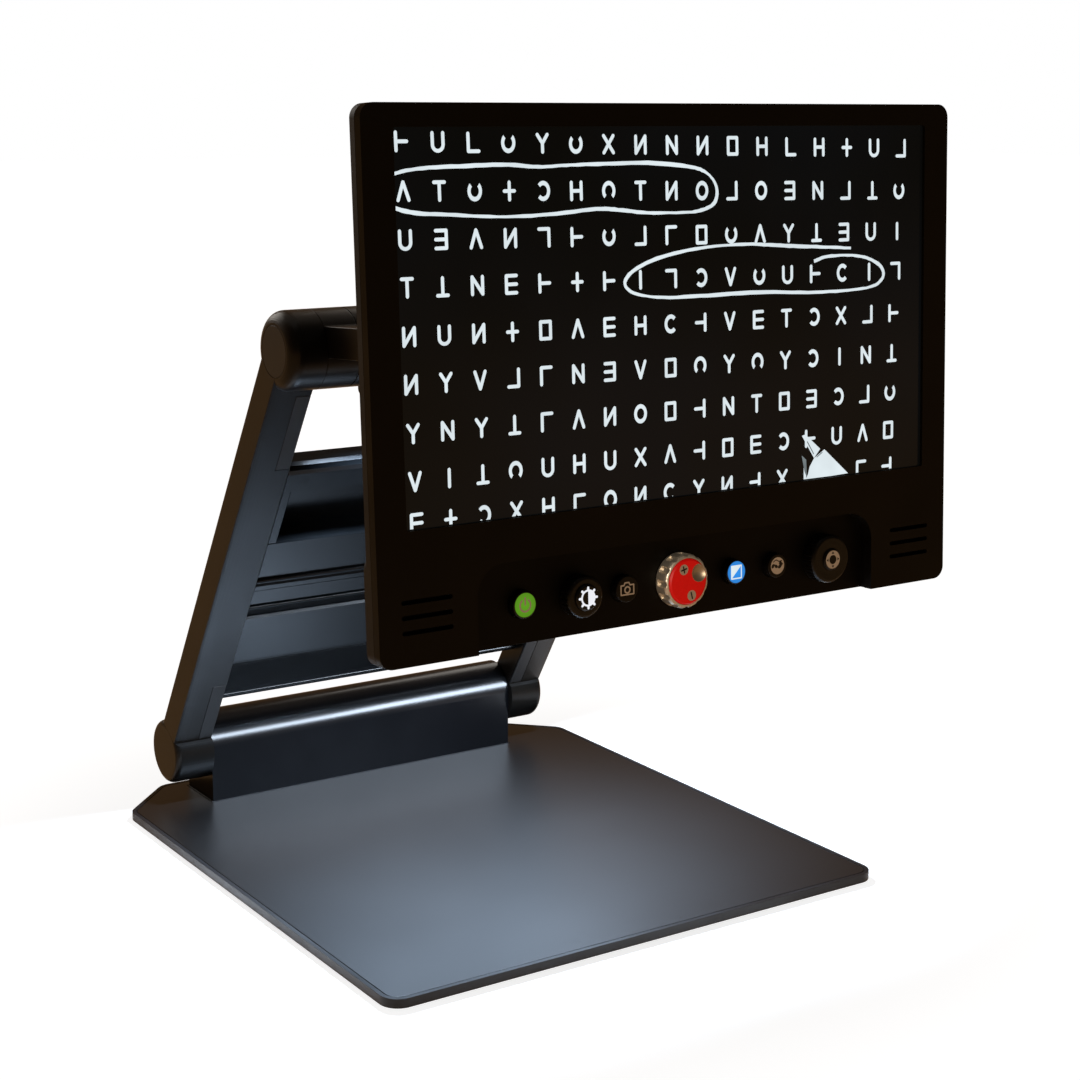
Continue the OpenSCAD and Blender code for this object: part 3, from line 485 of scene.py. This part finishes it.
# ---------------------------------------------------------------- the picture on the display
GLASS = 2.05                    # depth of the display glass behind the bezel face
VIEW_LOW = 75.6                 # the picture's lower edge, which cuts the last row
SIGN_W, SIGN_H, PEN = 8.6, 11.4, 2.0
W, H = SIGN_W / 2 - PEN / 2, SIGN_H / 2 - PEN / 2       # half sizes of a sign along its strokes' middles
RING_R, RING_SQUASH, GAP_SQUASH = SIGN_W / 2 + 0.3, 1.22, 1.2
GAP_SWEEP = 276                 # degrees of a ring that has a gap
GAPS = {"gap_right": 42, "gap_up": 132, "gap_left": 222, "gap_down": 312}      # where such a ring starts
STROKES = {
    # the straight strokes of the other signs, from x0, y0 to x1, y1
    "fork_right": [(-W, -H, -W, H), (-W, -H, W, -H), (-W, 0, W, 0), (-W, H, W, H)],
    "fork_left": [(W, -H, W, H), (W, -H, -W, -H), (W, 0, -W, 0), (W, H, -W, H)],
    "corner_a": [(-W, -H, -W, H), (-W, -H, W, -H)],
    "corner_b": [(W, -H, W, H), (-W, -H, W, -H)],
    "corner_c": [(-W, -H, -W, H), (-W, H, W, H)],
    "corner_d": [(W, -H, W, H), (-W, H, W, H)],
    "tee_up": [(-W, H, W, H), (0, -H, 0, H)],
    "tee_down": [(-W, -H, W, -H), (0, -H, 0, H)],
    "tee_right": [(W, -H, W, H), (-W, 0, W, 0)],
    "tee_left": [(-W, -H, -W, H), (-W, 0, W, 0)],
    "vee": [(-W, H, 0, -H), (0, -H, W, H)],
    "roof": [(-W, -H, 0, H), (0, H, W, -H)],
    "post": [(0, -H, 0, H)],
    "gate": [(-W, -H, -W, H), (W, -H, W, H), (-W, 0, W, 0)],
    "zig": [(-W, -H, -W, H), (W, -H, W, H), (-W, H, W, -H)],
    "zag": [(-W, -H, -W, H), (W, -H, W, H), (-W, -H, W, H)],
    "cup": [(-W, W - H, -W, H), (W, W - H, W, H)],      # and an arc below
    "cross": [(-W, 0, W, 0), (0, -H, 0, H)],
    "saltire": [(-W, -H, W, H), (-W, H, W, -H)],
    "stem": [(0, -H, 0, 0), (-W, H, 0, 0), (W, H, 0, 0)],
    "square": [(-W, -H, -W, H), (-W, -H, W, -H), (W, -H, W, H), (-W, H, W, H)],
}
KINDS = ["ring", *GAPS, *STROKES]


def sign(marks, x, y, kind, lean):
    """One test sign in the style of an eye chart: plain rings, forks, bars and angles."""
    if kind == "ring":
        marks.ring(x, y, RING_R, RING_R - PEN, squash=RING_SQUASH, n=28)
    elif kind in GAPS:
        marks.ring(x, y, RING_R, RING_R - PEN, GAPS[kind], GAPS[kind] + GAP_SWEEP, squash=GAP_SQUASH)
    elif kind == "cup":
        marks.ring(x, y - H + W, W + PEN / 2, W - PEN / 2, 180, 360, n=12)
    for x0, y0, x1, y1 in STROKES.get(kind, ()):
        marks.bar(x + x0 + lean * y0, y + y0, x + x1 + lean * y1, y + y1, PEN)


# the chart is seen a little askew, so its rows spread and drop to the right
ROW_LEFT = [281.9, 256.1, 230.6, 205.4, 179.4, 153.8, 127.4, 101.3, 78.6]
ROW_RIGHT = [275.4, 249.7, 224.6, 200.0, 173.9, 148.8, 124.4, 100.4, 77.6]
COL_LEFT, COL_RIGHT = (-184.7, -183.0), (172.0, 161.5)      # in the first and the last row
LEAN_TOP, LEAN_MORE = -0.012, 0.02
COLS = 17

draw = random.Random(20261)
picture = Marks("display_signs", "monitor", "display_glass", white_lit, GLASS - 0.03, 0.025, clip=VIEW_LOW)
last = None
for row, (left, right) in enumerate(zip(ROW_LEFT, ROW_RIGHT)):
    down = row / (len(ROW_LEFT) - 1)
    x0 = COL_LEFT[0] + (COL_LEFT[1] - COL_LEFT[0]) * down
    x1 = COL_RIGHT[0] + (COL_RIGHT[1] - COL_RIGHT[0]) * down
    for col in range(COLS):
        t = col / (COLS - 1)
        kind = draw.choice([k for k in KINDS if k != last])
        last = kind
        sign(picture, x0 + (x1 - x0) * t, left + (right - left) * t, kind, LEAN_TOP + LEAN_MORE * down)
picture.build()

# two loops drawn round signs with a pen
LOOP_A = [(-190.8, 265.0), (-176, 267.6), (-150, 268.6), (-118, 269), (-98.8, 267.6), (-80, 268.2),
          (-58.5, 268.6), (-23.6, 268.8), (5.1, 266.4), (17, 263.5), (24, 258), (26.4, 251.4), (24, 245),
          (16, 241.6), (4.8, 240.4), (-24.1, 240.8), (-45, 243), (-60, 243.8), (-92.9, 241.6),
          (-125.6, 241.2), (-157.3, 243.2), (-178, 244.6), (-190.3, 247.4)]
LOOP_B = [(130.9, 215.4), (110, 216.8), (88.2, 218.1), (68, 219.4), (49.3, 220.6), (19.2, 220),
          (-10.1, 216.4), (-31.7, 210), (-41.1, 202.3), (-34.8, 195.7), (-14.1, 192.2), (18.9, 191.8),
          (56.8, 191.9), (96.1, 190), (128.5, 189.8), (149.2, 191.4), (157.6, 196.6), (156, 203),
          (146, 208.4), (132, 211), (112, 211), (101, 208.6)]
LINE_THIN, LINE_SWELL, SWELL_RATE = 1.55, 0.75, 0.11
SHAKE_W, SHAKE_Y = 0.22, 0.12
loops = Marks("display_loops", "monitor", "display_glass", white_lit, GLASS - 0.06, 0.025)
for path in (LOOP_A, LOOP_B):
    points = rounded_path(path)
    widths = [LINE_THIN + LINE_SWELL * abs(math.sin(i * SWELL_RATE)) + draw.uniform(-SHAKE_W, SHAKE_W)
              for i in range(len(points))]
    wobble = [(x, y + draw.uniform(-SHAKE_Y, SHAKE_Y)) for x, y in points]
    loops.ribbon(wobble, widths)
loops.build()

# the nib of the pen under the camera
nib = Marks("display_nib", "monitor", "display_glass", white_lit, GLASS - 0.05, 0.02, clip=VIEW_LOW)
nib.faces([[(91.2, 102.7), (94, 103.4), (106, 93.4), (101, 88)]])
nib.faces([[(101, 88), (109.5, 92.8), (129, 76.0), (95, 75.0), (97.4, 83)]])
nib.build()
nib_dark = Marks("display_nib_shade", "monitor", "display_glass", nib_grey, GLASS - 0.08, 0.02, clip=VIEW_LOW)
nib_dark.bar(95.6, 98.6, 100.6, 90.8, 0.7)
nib_dark.bar(103.4, 88.6, 107.6, 91.0, 0.6)
nib_dark.faces([[(91.0, 90.6), (94.6, 87.6), (95.2, 76.6), (93.2, 80.4)]])
nib_dark.build()

# ---------------------------------------------------------------- marks on keys and dials
INK, INK_OVER, INK_THICK = 0.03, 0.07, 0.02     # how far a mark stands off, off another mark, and its thickness
HALF_TURN = 18                                  # steps in half a turn of the brightness mark


def marks(name, body, slot, material, at_depth, lift=INK):
    """Marks that stand a little off the face at this depth."""
    return Marks(name, body, slot, material, at_depth - lift, INK_THICK)


def full_turn(n):
    """The angles of n even steps round a circle."""
    return [math.radians(360 / n * i) for i in range(n)]


def strokes(m, x, y, pairs, width):
    """Straight strokes between pairs of points given from x, y."""
    for a, b in pairs:
        m.bar(x + a[0], y + a[1], x + b[0], y + b[1], width)


m = marks("power_mark", "power_key", "green_key", print_beige_painted_glow, KEY)
m.ring(POWER_X, 23.3, 4.1, 3.0, 120, 420, n=26)
m.bar(POWER_X, 23.6, POWER_X, 27.6, 1.1)
m.build()

# a sun, half filled
m = marks("brightness_mark", "brightness_knob", "cap_pale", lit("mark_white", lin(246, 248, 255), 1.0), CAP)
m.ring(BRIGHTNESS_X, ROW_UP, 5.0, 3.9, 90, 270, n=HALF_TURN)
m.faces([[on_arc(BRIGHTNESS_X, ROW_UP, 5.0, math.radians(-90 + 180 * i / HALF_TURN))
          for i in range(HALF_TURN + 1)]])
for t in full_turn(8):
    m.bar(*on_arc(BRIGHTNESS_X, ROW_UP, 4.8, t), *on_arc(BRIGHTNESS_X, ROW_UP, 6.0, t), 1.5)
m.build()

# the outline of a camera, and its lens
m = marks("camera_mark", "camera_key", "dark_key", print_beige_painted_glow, KEY)
OUTLINE = [(-4.6, -3.2), (4.6, -3.2), (4.6, 2.4), (1.9, 2.4), (1.1, 3.9), (-1.7, 3.9), (-2.5, 2.4), (-4.6, 2.4)]
strokes(m, CAMERA_X, ROW_UP, zip(OUTLINE, OUTLINE[1:] + OUTLINE[:1]), 0.85)
m.ring(CAMERA_X, ROW_UP - 0.4, 2.3, 1.35)
m.build()

# a square, half filled
m = marks("contrast_mark", "contrast_key", "blue_key", white_lit, KEY)
FILL_X, FILL_Y = 4.1, 4.2
m.faces([[(CONTRAST_X - FILL_X, ROW_UP + FILL_Y), (CONTRAST_X - FILL_X, ROW_UP - FILL_Y),
          (CONTRAST_X + FILL_X, ROW_UP + FILL_Y)]])
SQUARE = [((-3.8, -3.9), (3.8, -3.9)), ((3.8, -3.9), (3.8, 3.9)),
          ((-3.8, -3.9), (-3.8, 3.9)), ((-3.8, 3.9), (3.8, 3.9))]
strokes(m, CONTRAST_X, ROW_UP, SQUARE, 0.8)
m.build()

# a pale disc with dark shapes on it
m = marks("locator_mark", "locator_key", "dark_key", print_beige_painted_glow, KEY)
m.disc(LOCATOR_X, ROW_UP, 5.3, n=40)
m.build()
m = marks("locator_mark_dark", "locator_key", "dark_key", print_dark, KEY, INK_OVER)
swoop = rounded_path([(LOCATOR_X - 4.6, 22.4), (LOCATOR_X - 2.8, 24.2), (LOCATOR_X - 0.8, 23.0),
                      (LOCATOR_X + 1.2, 22.6), (LOCATOR_X + 4.2, 24.6)])
m.ribbon(swoop, [0.5 + 1.6 * abs(math.sin(i * 0.42)) for i in range(len(swoop))])
brow = rounded_path([(LOCATOR_X - 3.4, 26.0), (LOCATOR_X - 1.2, 27.2), (LOCATOR_X + 1.0, 26.2),
                     (LOCATOR_X + 3.4, 26.4)])
m.ribbon(brow, [0.6] * len(brow))
m.disc(LOCATOR_X + 2.3, 24.9, 1.2, n=16)
m.build()

# plus and minus on pale discs
PLUS, MINUS = (-3.5, ROW_UP + 7.7), (2.1, ROW_UP - 8.5)
m = marks("zoom_mark_discs", "zoom_knob", "face_red", print_beige_painted_glow, FACE)
for x, y in (PLUS, MINUS):
    m.disc(x, y, 3.2, n=32)
m.build()
m = marks("zoom_marks", "zoom_knob", "face_red", print_dark, FACE, INK_OVER)
SIGN_TURN, SIGN_HALF = 14, 1.9
for (x, y), turns in ((PLUS, (0, 90)), (MINUS, (90,))):
    for extra in turns:
        t = math.radians(SIGN_TURN) + math.radians(extra)
        m.bar(*on_arc(x, y, -SIGN_HALF, t), *on_arc(x, y, SIGN_HALF, t), 0.95)
m.build()

# a pale ring with four arrow heads
m = marks("arrow_mark_ring", "arrow_knob", "cap_black", print_beige_painted_glow, CAP)
m.ring(ARROW_X, ROW_UP, 5.7, 2.9, n=40)
m.build()
m = marks("arrow_marks", "arrow_knob", "cap_black", print_dark, CAP, INK_OVER)
HEAD = [(5.2, 0.0), (3.7, 1.05), (3.7, -1.05)]
for t in full_turn(4):
    c, s = math.cos(t), math.sin(t)
    m.faces([[(ARROW_X + a * c - b * s, ROW_UP + a * s + b * c) for a, b in HEAD]])
m.build()

# fine radial ridges on the arrow dial's face
RIDGE_FROM, RIDGE_TO = 9.6, 13.0
m = Marks("arrow_dial_ridges", "arrow_knob", "dial_black", MATS["dial_black"], -0.55, 0.4)
for t in full_turn(60):
    m.bar(*on_arc(ARROW_X, ROW_UP, RIDGE_FROM, t), *on_arc(ARROW_X, ROW_UP, RIDGE_TO, t), 0.28, caps=2)
m.build()

# ---------------------------------------------------------------- floor and surroundings
# both are plain white to the camera, and dimmer and warmer in what the reader reflects
FLOOR_HALF = 14.0
FLOOR_GLOW_NEAR, FLOOR_GLOW_FAR = 0.84, 1.0     # seen from the camera, near the reader and away from it
GLOW_FROM, GLOW_TO = 0.2, 0.42                  # metres from the reader's middle
WOOD = (0.30, 0.16, 0.06, 1)
ROOM_FRONT, ROOM_BACK = (0.03, 0.024, 0.018, 1), (0.17, 0.095, 0.045, 1)
WHITE = (1, 1, 1, 1)
bm = bmesh.new()
bmesh.ops.create_grid(bm, x_segments=8, y_segments=8, size=FLOOR_HALF)
mesh = bpy.data.meshes.new("floor")
bm.to_mesh(mesh)
bm.free()
floor = bpy.data.objects.new("floor", mesh)
scene.collection.objects.link(floor)
n = Nodes("floor_pale")
seen = n.new("ShaderNodeLightPath").outputs["Is Camera Ray"]
pale = n.mix(n.span(n.noise(3.0, 4.0), 0.3, 0.7, 0, 1), (0.34, 0.34, 0.34, 1), (0.38, 0.38, 0.378, 1))
n.link(n.mix(seen, (0.50, 0.47, 0.43, 1), pale), n.bsdf.inputs["Base Color"])
n.bsdf.inputs["Roughness"].default_value = 0.9
n.bsdf.inputs["Specular IOR Level"].default_value = 0.1
away = n.span(n.distance((0, 0, 0)), GLOW_FROM, GLOW_TO, FLOOR_GLOW_NEAR, FLOOR_GLOW_FAR)
n.link(n.mix(seen, WOOD, WHITE), n.bsdf.inputs["Emission Color"])
n.link(n.mix(seen, WHITE, away), n.bsdf.inputs["Emission Strength"])
n.mat.cycles.emission_sampling = "NONE"
mesh.materials.append(n.mat)

world = bpy.data.worlds.new("studio")
scene.world = world
world.use_nodes = True
tree = world.node_tree
tree.nodes.clear()
out = tree.nodes.new("ShaderNodeOutputWorld")
both = tree.nodes.new("ShaderNodeMixShader")
path = tree.nodes.new("ShaderNodeLightPath")
room = tree.nodes.new("ShaderNodeBackground")
white = tree.nodes.new("ShaderNodeBackground")
white.inputs["Color"].default_value = WHITE
where = tree.nodes.new("ShaderNodeTexCoord")
parts = tree.nodes.new("ShaderNodeSeparateXYZ")
tree.links.new(where.outputs["Generated"], parts.inputs[0])
ramp = tree.nodes.new("ShaderNodeMapRange")
set_range(ramp, -0.3, 0.7, 0.0, 1.0)
tree.links.new(parts.outputs["Y"], ramp.inputs["Value"])
blend = tree.nodes.new("ShaderNodeMix")
blend.data_type = "RGBA"
blend.inputs[6].default_value = ROOM_FRONT
blend.inputs[7].default_value = ROOM_BACK
tree.links.new(ramp.outputs["Result"], blend.inputs[0])
tree.links.new(blend.outputs[2], room.inputs["Color"])
tree.links.new(path.outputs["Is Camera Ray"], both.inputs[0])
tree.links.new(room.outputs[0], both.inputs[1])
tree.links.new(white.outputs[0], both.inputs[2])
tree.links.new(both.outputs[0], out.inputs["Surface"])


# ---------------------------------------------------------------- lights
def area_light(name, at, rotation, width, height, radiance, colour):
    """A light with a face of width x height metres, and how bright that face is."""
    data = bpy.data.lights.new(name, "AREA")
    data.shape = "RECTANGLE"
    data.size, data.size_y = width, height
    data.energy = radiance * math.pi * width * height
    data.color = colour
    obj = bpy.data.objects.new(name, data)
    obj.location = at
    obj.rotation_mode = "QUATERNION"
    obj.rotation_quaternion = rotation
    obj.visible_camera = False
    scene.collection.objects.link(obj)
    return obj


def soft_box(name, azimuth, elevation, far, width, height, radiance, colour, aim):
    """A light seen from aim at azimuth right of +Y and elevation, in degrees, and far metres off."""
    a, e = math.radians(azimuth), math.radians(elevation)
    away = Vector((math.sin(a) * math.cos(e), math.cos(a) * math.cos(e), math.sin(e)))
    facing = away.to_track_quat("Z", "Y")
    return area_light(name, Vector(aim) + away * far, facing, width, height, radiance, colour)


def only(light, nodes):
    """Keeps a light to these CAD nodes."""
    group = bpy.data.collections.new("lit_by_" + light.name)
    for node in nodes:
        group.objects.link(frame["nodes"][node])
    light.light_linking.receiver_collection = group


soft_box("overhead", azimuth=-30, elevation=80, far=3.0, width=2.6, height=2.6, radiance=0.25,
         colour=(1.0, 0.94, 0.86), aim=(0, 0, 0.15))

# a low front light for the satin shells, and a warm one for the zoom dial
SATIN = ("housing_shell", "panel_shell", "arm_shell", "trim_shell")
cool = soft_box("cool_front", azimuth=150, elevation=16.5, far=1.6, width=0.9, height=0.40, radiance=56.0,
                colour=COOL_WHITE, aim=(0, 0.1, 0.06))
only(cool, [node for node, slot in slot_of.items() if slot in SATIN and not node.endswith("foot_knuckle")])
warm = soft_box("warm_key", azimuth=212, elevation=14, far=1.5, width=0.6, height=0.6, radiance=13.0,
                colour=(1.0, 0.9, 0.78), aim=(0, -0.2, 0.24))
only(warm, ["zoom_dial", "zoom_face"])

# two fills for the back and the sides
UNFILLED = ("reading_mat", "base_plate", "monitor_bezel", "display_glass")
for name, azimuth in (("back_fill_left", -18), ("back_fill_right", 58)):
    fill = soft_box(name, azimuth, elevation=30, far=2.2, width=1.3, height=1.3, radiance=2.6,
                    colour=(1.0, 0.95, 0.88), aim=(0, 0.05, 0.2))
    only(fill, [node for node in slot_of if node not in UNFILLED])

# the reader's own two light bars shine down on the plate, and ride with the crossbar
LED_GLOW = 1150.0                               # how bright their faces are
LED_X, LED_Y, LED_Z = 0.072, -0.0041, 0.329
LED_SPREAD = math.radians(90)
STRAIGHT_DOWN = (1, 0, 0, 0)
for side in (-1, 1):
    bar = area_light("light_bar", (side * LED_X, LED_Y, LED_Z), STRAIGHT_DOWN, 0.044, 0.016, LED_GLOW,
                     (0.60, 0.77, 1.0))
    bar.data.spread = LED_SPREAD
    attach(bar, "arms")
